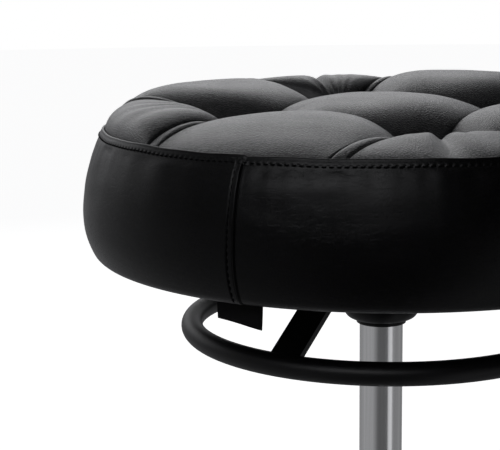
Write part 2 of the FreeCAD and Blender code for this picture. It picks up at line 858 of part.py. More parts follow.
def tee_nuts():
    """Threaded inserts with a flange on top of the board."""
    bore = BOLT_R + SEATED
    nut = turned(
        (bore, board_top_z - TEE_BARREL_LENGTH),
        (tee_barrel_r, board_top_z - TEE_BARREL_LENGTH),
        (tee_barrel_r, board_top_z),
        (TEE_FLANGE_R, board_top_z),
        (TEE_FLANGE_R, board_top_z + TEE_FLANGE),
        (bore, board_top_z + TEE_FLANGE),
    )
    return group([nut.translated(polar(BOLT_CIRCLE_R, degrees)) for degrees in bolt_angles])


def dust_cover():
    """Cloth under the board, with holes for the bolts."""
    cloth = post(dust_cover_r, plate_top_z, seat_z)
    return cloth.cut(bolt_holes(BOLT_R + BOLT_HOLE_GAP, plate_top_z - OVERCUT, seat_z + OVERCUT))


def dust_cover_staples():
    """Crowns of the staples round the edge of the dust cover."""
    crown = Part.makeBox(STAPLE_WIRE, STAPLE_CROWN, STAPLE_WIRE,
                         V(staple_circle_r - STAPLE_WIRE / 2, -STAPLE_CROWN / 2, plate_top_z - STAPLE_WIRE))
    return group([about_z(crown, degrees) for degrees in spread(STAPLE_COUNT, 0.0)])


def side_label():
    """Bare cloth label that hangs from the lower edge of the seat."""
    label = Part.makeBox(LABEL_THICK, LABEL_WIDTH, LABEL_DROP,
                         V(label_circle_r - LABEL_THICK / 2, -LABEL_WIDTH / 2, seat_z - LABEL_DROP))
    return about_z(label, LABEL_DEG)


# Every node by name

nodes = {
    "top_cover": top_cover(),
    "side_band": side_band(),
    "seat_foam": seat_foam(),
    "seat_board": seat_board(),
    "tuft_cords": tuft_cords(),
    "tee_nuts": tee_nuts(),
    "dust_cover": dust_cover(),
    "dust_cover_staples": dust_cover_staples(),
    "side_label": side_label(),
    "mounting_plate": mounting_plate(),
    "plate_bolts": plate_bolts(),
    "socket_tube": socket_tube(),
    "socket_bracket": socket_bracket(),
    "socket_standoffs": socket_standoffs(),
    "fulcrum_ring": fulcrum_ring(),
    "lever_disc": lever_disc(),
    "lever_arms": lever_arms(),
    "release_ring": release_ring(),
    "lift_column": lift_column(),
    "column_gland": column_gland(),
    "valve_pin": valve_pin(),
    "lift_rod": lift_rod(),
    "lift_piston": lift_piston(),
    "bump_stop": bump_stop(),
    "upper_washer": upper_washer(),
    "bearing_balls": bearing_balls(),
    "lower_washer": lower_washer(),
    "rod_clip": rod_clip(),
    "outer_tube": outer_tube(),
    "guide_bush": guide_bush(),
    "base_hub": base_hub(),
}

leg_angles = spread(CASTER_COUNT, FIRST_LEG_DEG)
nodes["caster_stems"] = group([at_leg_tip(caster_stem(), degrees) for degrees in leg_angles])
nodes["caster_sockets"] = group([at_leg_tip(caster_socket(), degrees) for degrees in leg_angles])
leg = base_leg()
caster = {
    "hood": caster_hood(),
    "axle": caster_axle(),
    "wheel_left": caster_wheel(1),
    "wheel_right": caster_wheel(-1),
}
for number, degrees in enumerate(leg_angles, start=1):
    nodes[f"base_leg_{number}"] = about_z(leg, degrees)
    for piece, shape in caster.items():
        nodes[f"caster_{number}_{piece}"] = at_leg_tip(shape, degrees, CASTER_HEADING_DEG)

os.makedirs("parts", exist_ok=True)
for name, shape in nodes.items():
    shape.exportStep(f"parts/{name}.step")
print(len(nodes), "nodes, top of the crown at", round(crown_z, 2))
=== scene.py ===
import json
import math

import bmesh
import bpy
import numpy as np
from mathutils import Matrix, Vector


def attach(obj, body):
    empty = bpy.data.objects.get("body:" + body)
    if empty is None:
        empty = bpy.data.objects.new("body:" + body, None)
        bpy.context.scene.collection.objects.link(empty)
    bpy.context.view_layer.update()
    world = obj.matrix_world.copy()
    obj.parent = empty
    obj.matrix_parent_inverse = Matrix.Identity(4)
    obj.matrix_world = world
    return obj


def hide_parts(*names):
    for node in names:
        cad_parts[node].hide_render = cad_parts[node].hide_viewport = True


# Round tufted stool: leather seat, ring lever, gas lift and star base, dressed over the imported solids.
# Lengths in this file are millimetres until a mesh is made; Blender's own are metres.
MM = 0.001

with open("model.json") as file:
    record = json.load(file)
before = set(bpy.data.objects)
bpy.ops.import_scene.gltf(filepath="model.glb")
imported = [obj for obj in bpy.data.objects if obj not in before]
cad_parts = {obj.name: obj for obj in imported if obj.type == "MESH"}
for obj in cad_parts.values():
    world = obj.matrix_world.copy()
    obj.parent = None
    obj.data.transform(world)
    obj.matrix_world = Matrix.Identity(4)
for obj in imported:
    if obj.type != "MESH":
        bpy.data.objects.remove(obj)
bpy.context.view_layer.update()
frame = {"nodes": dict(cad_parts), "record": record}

# Seat, from the same sizes as the solids, with a slightly fuller belly
SEAT_R = 189.9
SEAM_R = 176.5
SEAT_Z = 468.7
SEAM_Z = 546.7
BELLY_HEIGHT = 25.5
BELLY_ROUND = 49.4
CORNER_ROUND = 9.0
WRAP_R = 150.0
BOARD_Z = 470.3

# Tufted top
CELL = 62.0
TUFT_TURN = math.radians(-26.0)
TUFT_Z = 538.0
VALLEY_Z = 554.5
PLEAT_HALF = 4.4
PLEAT_RISE = 2.4
PLEAT_LINE = 1.1
PLEAT_LINE_HALF = 0.65
MIDDLE_CREST_Z = 565.8
DISH = 12.0
DISH_R = 27.0
DISH_EYE = 9.0
TWIST_DEG = -2.2
TWIST_AT_DEG = -95.0
TWIST_WIDE_DEG = 24.0
STUFFING_SLOW = 0.40
STUFFING_QUICK = 0.16
TOP_R = 175.0
RIM_Z = 546.0
ACROSS = 96
ALONG = 72
FAN = 110
STRIP = 11

# Crest height of each puff, how far out it stays full, and how round it meets the seam
EDGE_CREST = ((572.6, 12.0, 0.6), (570.0, 13.0, 0.6), (566.4, 3.1, 0.78), (566.5, 5.0, 0.6))
CORNER_CREST = ((566.0, 8.0, 0.6), (569.4, 12.0, 0.6), (564.6, 15.0, 0.6), (559.0, 4.2, 0.74))

# Depth of the two pleats at each corner below the lower of their neighbours
PLEAT_DROP = ((2.0, 2.0), (1.0, 3.2), (1.6, 0.4), (1.2, 1.6))

# Tufts on their own grid
TUFTS = ((CELL, CELL), (-CELL, CELL), (-CELL, -CELL), (CELL, -CELL))

# Folds gathered at each corner's tuft: place over the fan, width, depth and reach
CORNER_FOLDS = (
    ((0.35, 0.06, 1.8, 0.8), (0.62, 0.05, 1.6, 0.7)),
    ((0.30, 0.06, 1.5, 0.6), (0.46, 0.05, 9.0, 1.7), (0.62, 0.04, 2.4, 0.8), (0.71, 0.04, 2.2, 0.75),
     (0.81, 0.045, 1.8, 0.65)),
    ((0.25, 0.07, 2.2, 1.1), (0.46, 0.07, 2.6, 1.1), (0.66, 0.06, 2.2, 1.0), (0.82, 0.05, 1.4, 0.8)),
    ((0.40, 0.06, 1.6, 0.8), (0.62, 0.065, 7.5, 1.2), (0.82, 0.06, 1.2, 0.6)),
)

# Line inside the band that closes the padding: radius and height, from the seam to the axis
LINING = np.array([[174.8, 544.6], [174.0, 532.7], [183.0, 505.0], [176.0, 487.0], [172.0, 485.6],
                   [60.0, 485.6], [0.0, 485.6]])

# Hem and its stitches
HEM = 4.4
HEM_PROUD = 0.25
HEM_BULGE = 0.2
HEM_EDGE = 0.5
HEM_TOP_ROUND = 1.0
HEM_TOP_DROP = 0.4
HEM_FOLD = 2.2
HEM_FOLD_RISE = 0.6
HEM_WANDER = (0.22, 0.12)
HEM_STEPS = 1824
STITCH_PITCH = 3.9
STITCH_LENGTH = 2.7
STITCH_R = 0.42
STITCH_RISE = 1.0
HOLE_PULL = 0.50
HOLE_PULL_HALF = 0.9
HOLE_LIFT = 0.45
HOLE_LIFT_FADE = 0.8

# Band: its skin, its waves with the length over which each fades, and its upright joint
BAND_TURNS = 720
BAND_SKIN = 1.6
BAND_SAG = 1.8
WAVES_FROM = 6.0
WAVES_GROW = 20.0
WAVES_HEM_GAP = 3.0
PUCKER = 0.40
PUCKER_FADE = 14.0
GATHER = 0.22
GATHER_FADE = 8.0
BULGE = 0.35
BULGE_LENGTH = 19.0
CREASE = 0.07
CREASE_LENGTH = 2.6
JOINT_DEG = -114.0
JOINT_NEAR = 6.0
JOINT_RISE = 1.0
JOINT_LAP_REACH = 13.0
JOINT_LAP_EDGE = 0.16
JOINT_GROOVE = 0.9
JOINT_GROOVE_AT = 0.6
JOINT_GROOVE_HALF = 0.45
JOINT_STITCH = 3.6
JOINT_STITCH_GROOVE = 0.5
JOINT_STITCH_HALF = 0.6
JOINT_START = 14.0
JOINT_START_FADE = 8.0
JOINT_PUFF = 0.9
JOINT_PUFF_FROM = 3.0
JOINT_PUFF_RISE = 14.0
JOINT_PUFF_TO = 95.0
JOINT_PUFF_FALL = 45.0
JOINT_PUFF_DROP = 9.0
JOINT_PUFF_HALF = 7.0

# Cords that hold the tufts down
CORD_R = 1.2
CORD_TOP_Z = 535.5
CORD_LAY = 5.0
CORD_WASHER_R = 6.0
CORD_WASHER = 1.2
CORD_EDGE = 0.3

# Small trim
DUST_R = 162.0
DUST_Z = 468.2
DUST_SAG = 1.2
PLATE_R = 98.0
LABEL_DEG = -116.8
LABEL_R = 169.0
LABEL_WIDTH = 29.0
LABEL_DROP = 14.5
LABEL_FOLD = 0.5
LABEL_TUCK = 0.6
LABEL_CURL = 0.8
LABEL_LEAN = 0.5
LABEL_TILT = 0.10
LABEL_WAVE = 0.2

# Floor in metres: radius of each of its rings, and how far it lies under the wheels
FLOOR_RINGS = (0.001, 0.4, 1.5, 12.0)
FLOOR_TURNS = 64
FLOOR_DROP = 0.0002

# Soft boxes in metres and watts: name, place, aim, size and power
LAMPS = (
    ("back_box", (-0.8, 2.05, 1.55), (0.0, 0.0, 0.55), (2.4, 0.9), 8.5),
    ("left_box", (-1.9, -0.4, 1.2), (0.0, 0.0, 0.45), (1.0, 1.4), 0.8),
)

# Camera as fitted to the photo, in metres and degrees, and its lens
CAMERA_PLACE = (0.0, -0.870, 0.6393)
CAMERA_YAW_DEG = 5.58
CAMERA_PITCH_DEG = 10.29
CAMERA_ROLL_DEG = -0.67
CAMERA_LENS = 98.7
CAMERA_SENSOR = 36.0
CAMERA_CLIP = (0.05, 100.0)


# Shader maths

class Field:
    """A node's output, so that maths on surface values reads as maths."""

    def __init__(self, finish, socket):
        self.finish = finish
        self.socket = socket

    def math(self, operation, first, second):
        return self.finish.node("ShaderNodeMath", {"operation": operation}, {0: first, 1: second})

    def __add__(self, other):
        return self.math("ADD", self, other)

    def __radd__(self, other):
        return self.math("ADD", other, self)

    def __sub__(self, other):
        return self.math("SUBTRACT", self, other)

    def __rsub__(self, other):
        return self.math("SUBTRACT", other, self)

    def __mul__(self, other):
        return self.math("MULTIPLY", self, other)

    def __rmul__(self, other):
        return self.math("MULTIPLY", other, self)

    def __truediv__(self, other):
        return self.math("DIVIDE", self, other)

    def __pow__(self, other):
        return self.math("POWER", self, other)


class Finish:
    """Node tree of one material or of the world."""

    def __init__(self, tree):
        self.tree = tree
        self.tree.nodes.clear()

    def node(self, kind, settings, sockets, out=0):
        """Adds a node, sets its settings, then its sockets, and gives back one output."""
        made = self.tree.nodes.new(kind)
        for key, value in settings.items():
            setattr(made, key, value)
        for key, value in sockets.items():
            if isinstance(value, Field):
                self.tree.links.new(value.socket, made.inputs[key])
            else:
                made.inputs[key].default_value = value
        return Field(self, made.outputs[out]) if made.outputs else None

    def coords(self, out="Object"):
        return self.node("ShaderNodeTexCoord", {}, {}, out)

    def stretched(self, vector, scale):
        return self.node("ShaderNodeMapping", {}, {"Vector": vector, "Scale": scale})

    def noise(self, vector, scale, detail=3.0, rough=0.5):
        sockets = {"Vector": vector, "Scale": scale, "Detail": detail, "Roughness": rough}
        return self.node("ShaderNodeTexNoise", {}, sockets)

    def cells(self, vector, scale, feature="F1"):
        return self.node("ShaderNodeTexVoronoi", {"feature": feature}, {"Vector": vector, "Scale": scale})

    def ramp(self, value, low, high, to_low=0.0, to_high=1.0):
        sockets = {"Value": value, "From Min": low, "From Max": high, "To Min": to_low, "To Max": to_high}
        return self.node("ShaderNodeMapRange", {"interpolation_type": "SMOOTHSTEP"}, sockets)

    def blend(self, factor, first, second):
        sockets = {0: factor, 6: (*first, 1.0), 7: (*second, 1.0)}
        return self.node("ShaderNodeMix", {"data_type": "RGBA"}, sockets, 2)

    def bump(self, height, strength, distance):
        return self.node("ShaderNodeBump", {}, {"Height": height, "Strength": strength, "Distance": distance})

    def surface(self, sockets):
        """Principled shader with these sockets, on the material's output."""
        shader = self.node("ShaderNodeBsdfPrincipled", {}, sockets)
        self.node("ShaderNodeOutputMaterial", {}, {"Surface": shader})


def finish(name):
    """New material and its node tree."""
    material = bpy.data.materials.new(name)
    material.use_nodes = True
    return material, Finish(material.node_tree)


def leather(name, pebbles, creases, grain, dark, light, shine, rough):
    """Black leather: pebble grain, soft patches of sheen, and fine creases along the surface's UV."""
    material, f = finish(name)
    place = f.coords()
    pebble = f.ramp(f.cells(place, pebbles, "DISTANCE_TO_EDGE"), 0.0, 0.32)
    fine = f.noise(place, 2100.0)
    patch = f.noise(place, 26.0, 4.0)
    crease = f.noise(f.stretched(f.coords("UV"), (150.0, 560.0, 1.0)), 1.0, 5.0, 0.62)
    crease = f.ramp(crease, 0.50, 0.70) * creases
    height = pebble * 0.6 + fine * 0.3 + patch * 0.4 - crease
    f.surface({
        "Base Color": f.blend(patch, dark, light),
        "Roughness": rough + 0.10 * patch - 0.08 * pebble,
        "Specular IOR Level": shine,
        "Normal": f.bump(height, 0.5, grain),
    })
    return material


def thread():
    """Black sewing thread with a twist."""
    material, f = finish("black_thread")
    twist = f.noise(f.coords(), 2600.0, 2.0)
    f.surface({
        "Base Color": f.blend(twist, (0.002, 0.002, 0.0022), (0.006, 0.006, 0.0065)),
        "Roughness": 0.75 + 0.2 * twist,
        "Specular IOR Level": 0.02,
        "Normal": f.bump(twist, 0.4, 0.0002),
    })
    return material


def cloth(name, dark, light, pitch, sheen):
    """Plain woven cloth: two crossed sets of threads."""
    material, f = finish(name)
    place = f.coords()
    warp = f.node("ShaderNodeTexWave", {"bands_direction": "X"}, {"Vector": place, "Scale": pitch})
    weft = f.node("ShaderNodeTexWave", {"bands_direction": "Y"}, {"Vector": place, "Scale": pitch})
    fuzz = f.noise(place, 900.0)
    weave = warp * weft + 0.5 * fuzz
    f.surface({
        "Base Color": f.blend(weave, dark, light),
        "Roughness": 0.8 + 0.1 * fuzz,
        "Sheen Weight": sheen,
        "Specular IOR Level": 0.1,
        "Normal": f.bump(weave, 0.35, 0.0003),
    })
    return material


def black_steel():
    """Satin black powder coat with a faint orange peel and a little dust."""
    material, f = finish("satin_black_coat")
    place = f.coords()
    peel = f.noise(place, 520.0, 2.0)
    patch = f.noise(place, 22.0, 4.0)
    f.surface({
        "Base Color": f.blend(patch, (0.0045, 0.0045, 0.005), (0.009, 0.009, 0.0095)),
        "Roughness": 0.34 + 0.10 * patch + 0.06 * peel,
        "Specular IOR Level": 0.13,
        "Normal": f.bump(peel, 0.12, 0.0004),
    })
    return material


def steel(name, dark, light, rough, streak):
    """Drawn steel: fine lines along the length, with patches of duller metal."""
    material, f = finish(name)
    place = f.coords()
    lines = f.noise(f.stretched(place, (streak, streak, streak * 0.012)), 1.0, 4.0, 0.6)
    patch = f.noise(place, 30.0, 4.0)
    f.surface({
        "Base Color": f.blend(lines, dark, light),
        "Metallic": 1.0,
        "Roughness": rough + 0.10 * lines + 0.08 * patch,
        "Normal": f.bump(lines, 0.06, 0.0002),
    })
    return material


def chrome():
    """Polished chrome plate with faint smears."""
    material, f = finish("chrome_plate")
    smear = f.noise(f.stretched(f.coords(), (18.0, 18.0, 60.0)), 1.0, 5.0, 0.6)
    f.surface({
        "Base Color": f.blend(smear, (0.74, 0.75, 0.77), (0.84, 0.84, 0.85)),
        "Metallic": 1.0,
        "Roughness": 0.06 + 0.12 * f.ramp(smear, 0.45, 0.8),
    })
    return material


def plastic(name, dark, light, rough, grain):
    """Moulded plastic with a fine spark-eroded grain."""
    material, f = finish(name)
    place = f.coords()
    spark = f.cells(place, grain)
    patch = f.noise(place, 40.0, 4.0)
    f.surface({
        "Base Color": f.blend(patch, dark, light),
        "Roughness": rough + 0.12 * patch,
        "Normal": f.bump(spark, 0.16, 0.0003),
    })
    return material


def plywood():
    """Birch ply: thin layers across the thickness, grain along the board."""
    material, f = finish("birch_ply")
    place = f.coords()
    layers = f.node("ShaderNodeTexWave", {"bands_direction": "Z"},
                    {"Vector": place, "Scale": 105.0, "Distortion": 0.6})
    grain = f.noise(f.stretched(place, (8.0, 160.0, 40.0)), 1.0, 5.0, 0.6)
    f.surface({
        "Base Color": f.blend(0.55 * layers + 0.45 * grain, (0.36, 0.22, 0.11), (0.66, 0.47, 0.28)),
        "Roughness": 0.6 + 0.2 * grain,
        "Normal": f.bump(grain, 0.2, 0.0004),
    })
    return material


# Meshes

def turned_to_seat(p, q):
    """Plan position of a point given along the two directions of the tuft grid."""
    cos, sin = math.cos(TUFT_TURN), math.sin(TUFT_TURN)
    return p * cos - q * sin, p * sin + q * cos


def quads(rows, columns, closed=False):
    """Corner numbers of a grid's faces; closed joins the last column to the first."""
    r = np.arange(rows - 1)[:, None]
    c = np.arange(columns if closed else columns - 1)[None, :]
    after = (c + 1) % columns
    faces = [r * columns + c, r * columns + after, (r + 1) * columns + after, (r + 1) * columns + c]
    return np.stack([np.broadcast_to(face, (rows - 1, c.shape[1])) for face in faces], -1).reshape(-1, 4)


class Sheet:
    """Collects grids of points in millimetres and makes one mesh of them."""

    def __init__(self):
        self.points = []
        self.uvs = []
        self.faces = []
        self.count = 0

    def add(self, x, y, z, u=None, v=None, closed=False):
        """One grid of points, or many grids of the same size along the first axis."""
        rows, columns = x.shape[-2:]
        self.points.append(np.stack([x, y, z], -1).reshape(-1, 3))
        u = x * MM if u is None else u
        v = y * MM if v is None else v
        uv = [np.broadcast_to(side, x.shape) for side in (u, v)]
        self.uvs.append(np.stack(uv, -1).reshape(-1, 2))
        starts = self.count + np.arange(x.size // (rows * columns)) * rows * columns
        self.faces.append((quads(rows, columns, closed)[None] + starts[:, None, None]).reshape(-1, 4))
        self.count += x.size

    def piece(self, name, material, body, weld=0.02):
        """Mesh object, welded at its grids' common edges, with outward normals and smooth shading."""
        mesh = bpy.data.meshes.new(name)
        points = np.concatenate(self.points) * MM
        faces = np.concatenate(self.faces)
        mesh.from_pydata(points, [], faces)
        layer = mesh.uv_layers.new(name="UVMap")
        corner = np.zeros(len(mesh.loops), np.int32)
        mesh.loops.foreach_get("vertex_index", corner)
        layer.data.foreach_set("uv", np.concatenate(self.uvs)[corner].astype(np.float32).ravel())
        work = bmesh.new()
        work.from_mesh(mesh)
        bmesh.ops.remove_doubles(work, verts=work.verts, dist=weld * MM)
        bmesh.ops.dissolve_degenerate(work, edges=work.edges, dist=weld * MM * 0.1)
        bmesh.ops.recalc_face_normals(work, faces=work.faces)
        work.to_mesh(mesh)
        work.free()
        mesh.polygons.foreach_set("use_smooth", np.ones(len(mesh.polygons), bool))
        mesh.materials.append(material)
        made = bpy.data.objects.new(name, mesh)
        bpy.context.scene.collection.objects.link(made)
        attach(made, body)
        return made


def eased(count):
    """Steps from 0 to 1 that crowd towards both ends."""
    return (1.0 - np.cos(np.pi * np.linspace(0.0, 1.0, count))) / 2.0


# Tufted top

def envelope(x, y, crest, full, soft):
    """Height of a puff's crest: level in the middle, rounded down to the seam, the later the fuller."""
    share = np.clip(np.hypot(x, y) / TOP_R, 0.0, 1.0)
    return RIM_Z + (crest - RIM_Z) * (1.0 - share ** full) ** soft


def unevenness(x, y):
    """Slow waves of the stuffing, crossed in two directions."""
    slow = np.sin(x / 17.0 + 0.8 * np.sin(y / 23.0)) * np.cos(y / 19.0 + 1.0)
    quick = np.sin(x / 7.3 + y / 11.0) * np.cos(y / 8.1 - x / 15.0)
    return STUFFING_SLOW * slow + STUFFING_QUICK * quick


def pleat_floor(p, q, t, corner, mirrored):
    """Height of a pleat's groove from the tuft at t = 0 to the seam at t = 1, below both neighbours."""
    edge = corner - 1 if mirrored else corner
    low = np.minimum(envelope(p, q, *EDGE_CREST[edge]), envelope(p, q, *CORNER_CREST[corner]))
    near = (1.0 - t) ** 2.3
    return low + (TUFT_Z - low) * near - PLEAT_DROP[corner][mirrored] * (1.0 - t ** 4) * (1.0 - near)


def pleat_half(t):
    """Half the width of the flat strip of a pleat, from a point at the tuft."""
    return PLEAT_HALF * t ** 0.55


def pleat_line(distance, t):
    """Sewn line at a pleat's edge: a narrow dip by distance from it, from nothing at the tuft."""
    return PLEAT_LINE * np.exp(-(distance / PLEAT_LINE_HALF) ** 2) * t ** 0.3


def seam_q(p):
    """Where a line of the tuft grid at p meets the seam."""
    return np.sqrt(TOP_R ** 2 - p ** 2)


def swell(share, sharp, soft=0.55):
    """Pillow section over -1 to 1: steep at both ends, less so the softer, and level in the middle."""
    return np.clip(1.0 - np.abs(share) ** sharp, 0.0, 1.0) ** soft


def valley_floor(s):
    """Height along the valley between two tufts, from tuft to tuft."""
    return VALLEY_Z - (VALLEY_Z - TUFT_Z) * np.abs(2.0 * s - 1.0) ** 3.0


def quarter_turns(p, q, quarter):
    """A point of the grid turned by quarter turns, then turned to the seat, with one pleat drawn aside."""
    for _ in range(quarter):
        p, q = -q, p
    x, y = turned_to_seat(p, q)
    off = (np.degrees(np.arctan2(y, x)) - TWIST_AT_DEG) / TWIST_WIDE_DEG
    twist = math.radians(TWIST_DEG) * np.exp(-off ** 2) * np.clip((np.hypot(x, y) - CELL) / CELL, 0.0, 1.0)
    return x * np.cos(twist) - y * np.sin(twist), x * np.sin(twist) + y * np.cos(twist)


def gathers(s, t, quarter):
    """Folds that run out from a tuft: dips over the fan's angle that fade at their reach."""
    dip = np.zeros_like(s)
    for place, width, depth, reach in CORNER_FOLDS[quarter]:
        fade = np.clip(1.0 - (t / reach) ** 2, 0.0, 1.0)
        dip = dip - depth * np.exp(-((s - place) / width) ** 2) * np.sqrt(t) * fade
    return dip


def middle_puff():
    """Square puff between four tufts: its valleys plus a pillow section in both directions."""
    s, t = np.meshgrid(eased(ACROSS), eased(ACROSS))
    p, q = CELL * (2.0 * s - 1.0), CELL * (2.0 * t - 1.0)
    edge = np.maximum(np.abs(2.0 * s - 1.0), np.abs(2.0 * t - 1.0))
    floor = np.where(np.abs(2.0 * s - 1.0) >= np.abs(2.0 * t - 1.0), valley_floor(t), valley_floor(s))
    floor = floor + (VALLEY_Z - floor) * (1.0 - edge)
    x, y = turned_to_seat(p, q)
    lift = swell(2.0 * s - 1.0, 2.2, 0.62) * swell(2.0 * t - 1.0, 2.2, 0.62)
    return x, y, floor + (MIDDLE_CREST_Z + unevenness(x, y) - floor) * lift


def edge_puff(quarter):
    """Puff between a valley and the seam, with a pleat at each side: groove plus a pillow section."""
    t, s = np.meshgrid(eased(ALONG), eased(ACROSS), indexing="ij")
    p = (CELL - pleat_half(t)) * (2.0 * s - 1.0)
    q = CELL + (seam_q((CELL - PLEAT_HALF) * (2.0 * s - 1.0)) - CELL) * t
    x, y = quarter_turns(p, q, quarter)
    side_q = CELL + (seam_q(CELL - PLEAT_HALF) - CELL) * t
    first = pleat_floor(CELL - pleat_half(t), side_q, t, (quarter + 1) % 4, True)
    second = pleat_floor(CELL - pleat_half(t), side_q, t, quarter, False)
    groove = first + (second - first) * s
    floor = groove + (valley_floor(s) - TUFT_Z) * (1.0 - t) ** 2
    lift = swell(2.0 * s - 1.0, 2.0 + 3.4 * t, 0.95 - 0.2 * t) * swell(1.0 - t, 3.0, 0.62)
    crest = envelope(x, y, *EDGE_CREST[quarter]) + unevenness(x, y) * (1.0 - t ** 4)
    inward = (CELL - pleat_half(t)) * (1.0 - np.abs(2.0 * s - 1.0))
    return x, y, floor + (crest - floor) * lift - pleat_line(inward, t)


def corner_puff(quarter):
    """Fan from a tuft to the seam: groove plus a pillow section over its angle, less the gathered folds."""
    t, s = np.meshgrid(eased(ALONG), (eased(FAN) + np.linspace(0.0, 1.0, FAN)) / 2.0, indexing="ij")
    start = np.arctan2(seam_q(CELL + PLEAT_HALF), CELL + PLEAT_HALF)
    angle = start + (np.pi / 2.0 - 2.0 * start) * s
    bow = pleat_half(t) - PLEAT_HALF * t
    p = CELL + (TOP_R * np.cos(angle) - CELL) * t + bow * (1.0 - s)
    q = CELL + (TOP_R * np.sin(angle) - CELL) * t + bow * s
    x, y = quarter_turns(p, q, quarter)
    side_q = CELL + (seam_q(CELL + PLEAT_HALF) - CELL) * t
    first = pleat_floor(CELL + pleat_half(t), side_q, t, quarter, False)
    second = pleat_floor(CELL + pleat_half(t), side_q, t, quarter, True)
    groove = first + (second - first) * s
    lift = swell(2.0 * s - 1.0, 3.4) * swell(1.0 - t, 4.0)
    crest = envelope(x, y, *CORNER_CREST[quarter]) + unevenness(x, y) * (1.0 - t ** 4)
    inward = np.minimum(s, 1.0 - s) * t * TOP_R * (2.0 * start - np.pi / 2.0)
    folds = gathers(s, t, quarter) * swell(2.0 * s - 1.0, 6.0)
    return x, y, groove + (crest - groove) * lift + folds - pleat_line(inward, t)


def pleat(quarter, mirrored):
    """Narrow folded strip from a tuft to the seam: half an ellipse over its own groove."""
    t, c = np.meshgrid(eased(ALONG), eased(STRIP) * 2.0 - 1.0, indexing="ij")
    p = CELL + c * pleat_half(t)
    q = CELL + (seam_q(CELL + c * PLEAT_HALF) - CELL) * t
    side_q = CELL + (seam_q(CELL + np.sign(c) * PLEAT_HALF) - CELL) * t
    groove = pleat_floor(CELL + np.sign(c) * pleat_half(t), side_q, t, quarter, mirrored)
    rise = PLEAT_RISE * np.sqrt(np.clip(1.0 - c ** 2, 0.0, 1.0)) * np.sqrt(t) * (1.0 - t ** 8)
    if mirrored:
        p, q = q, p
    x, y = quarter_turns(p, q, quarter)
    return x, y, groove + rise - pleat_line(pleat_half(t) * (1.0 - np.abs(c)), t)


def dish(x, y):
    """Wide dip round every tuft: a bell over the distance, less at its eye."""
    dip = np.zeros_like(x)
    for p, q in TUFTS:
        middle_x, middle_y = turned_to_seat(p, q)
        away = (x - middle_x) ** 2 + (y - middle_y) ** 2
        dip = dip + DISH * np.exp(-away / DISH_R ** 2) * (1.0 - np.exp(-away / DISH_EYE ** 2))
    return dip


def lined(x, y, z):
    """A rim grid carried on from the seam, down inside the band to the board and in to the axis."""
    rows = LINING[:, 0][:, None]
    heights = LINING[:, 1][:, None] + 0.0 * x[-1:]
    return (np.concatenate([x, rows * x[-1:] / TOP_R]), np.concatenate([y, rows * y[-1:] / TOP_R]),
            np.concatenate([z, heights]))


def seat_top(material):
    """Nine puffs between straight valleys, with a pleat from each tuft to the seam, closed underneath."""
    sheet = Sheet()
    x, y, z = middle_puff()
    sheet.add(x, y, z - dish(x, y))
    for quarter in range(4):
        pleats = (pleat(quarter, mirrored) for mirrored in (False, True))
        for x, y, z in (edge_puff(quarter), corner_puff(quarter), *pleats):
            sheet.add(*lined(x, y, z - dish(x, y)))
    made = sheet.piece("seat_top", material, "seat")
    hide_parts("top_cover", "seat_foam")


def drawn_cords(material):
    """Cords from washers under the board up to the sunk tufts: three strands laid round by the height."""
    rise = np.linspace(BOARD_Z, CORD_TOP_Z, 90)
    low = BOARD_Z - CORD_WASHER
    foot = [[0.0, low], [CORD_WASHER_R - CORD_EDGE, low], [CORD_WASHER_R, low + CORD_EDGE],
            [CORD_WASHER_R, BOARD_Z]]
    line = np.concatenate([foot, np.stack([0.0 * rise + CORD_R, rise], -1), [[0.0, CORD_TOP_Z + CORD_EDGE]]])
    turn = np.linspace(0.0, 2.0 * np.pi, 24, endpoint=False)[None, None, :]
    middle_x, middle_y = (place[:, None, None] for place in turned_to_seat(*np.array(TUFTS).T))
    height = line[None, :, 1, None] + 0.0 * turn
    strand = 0.92 + 0.08 * np.cos(3.0 * turn - 2.0 * np.pi * height / CORD_LAY)
    radius = line[None, :, 0, None] * np.where(line[None, :, 0, None] > CORD_R, 1.0, strand)
    x, y = middle_x + radius * np.cos(turn), middle_y + radius * np.sin(turn)
    sheet = Sheet()
    sheet.add(x, y, height + 0.0 * x, closed=True)
    made = sheet.piece("drawn_cords", material, "seat", weld=0.005)
    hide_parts("tuft_cords")


# Side band

BELLY_Z = SEAT_Z + BELLY_HEIGHT
SHOULDER = ((SEAT_R - SEAM_R) ** 2 + (SEAM_Z - BELLY_Z) ** 2) / (2.0 * (SEAT_R - SEAM_R))
HEM_LOW = SEAM_Z - HEM


def run_along(line):
    """Distance of each point along a line of points from its first, as a column."""
    return np.concatenate([[0.0], np.cumsum(np.hypot(*np.diff(line, axis=0).T))])[:, None]


def arc(centre, radius, start, end, count):
    """Points on an arc of the section, by angles in degrees."""
    angle = np.radians(np.linspace(start, end, count))
    return np.stack([centre[0] + radius * np.cos(angle), centre[1] + radius * np.sin(angle)], -1)


def shoulder_r(z):
    """Radius of the band's shoulder arc at a height."""
    return SEAT_R - SHOULDER + np.sqrt(SHOULDER ** 2 - (z - BELLY_Z) ** 2)


def band_outline():
    """Outer line of the band in radius and height: under the board, lower corner, belly and shoulder."""
    drop = BELLY_HEIGHT + BAND_SAG - CORNER_ROUND
    run = math.sqrt((BELLY_ROUND - CORNER_ROUND) ** 2 - drop ** 2)
    belly = (SEAT_R - BELLY_ROUND, BELLY_Z)
    corner = (belly[0] + run, SEAT_Z - BAND_SAG + CORNER_ROUND)
    turn = math.degrees(math.atan2(-drop, run))
    rise = np.linspace(BELLY_Z, SEAM_Z - 0.8, 40)[1:]
    return np.concatenate([
        np.array([[WRAP_R, SEAT_Z + 0.2], [WRAP_R + 12.5, SEAT_Z + 0.1]]),
        arc(corner, CORNER_ROUND, -90.0, turn, 10),
        arc(belly, BELLY_ROUND, turn, 0.0, 18)[1:],
        np.stack([shoulder_r(rise), rise], -1),
    ])


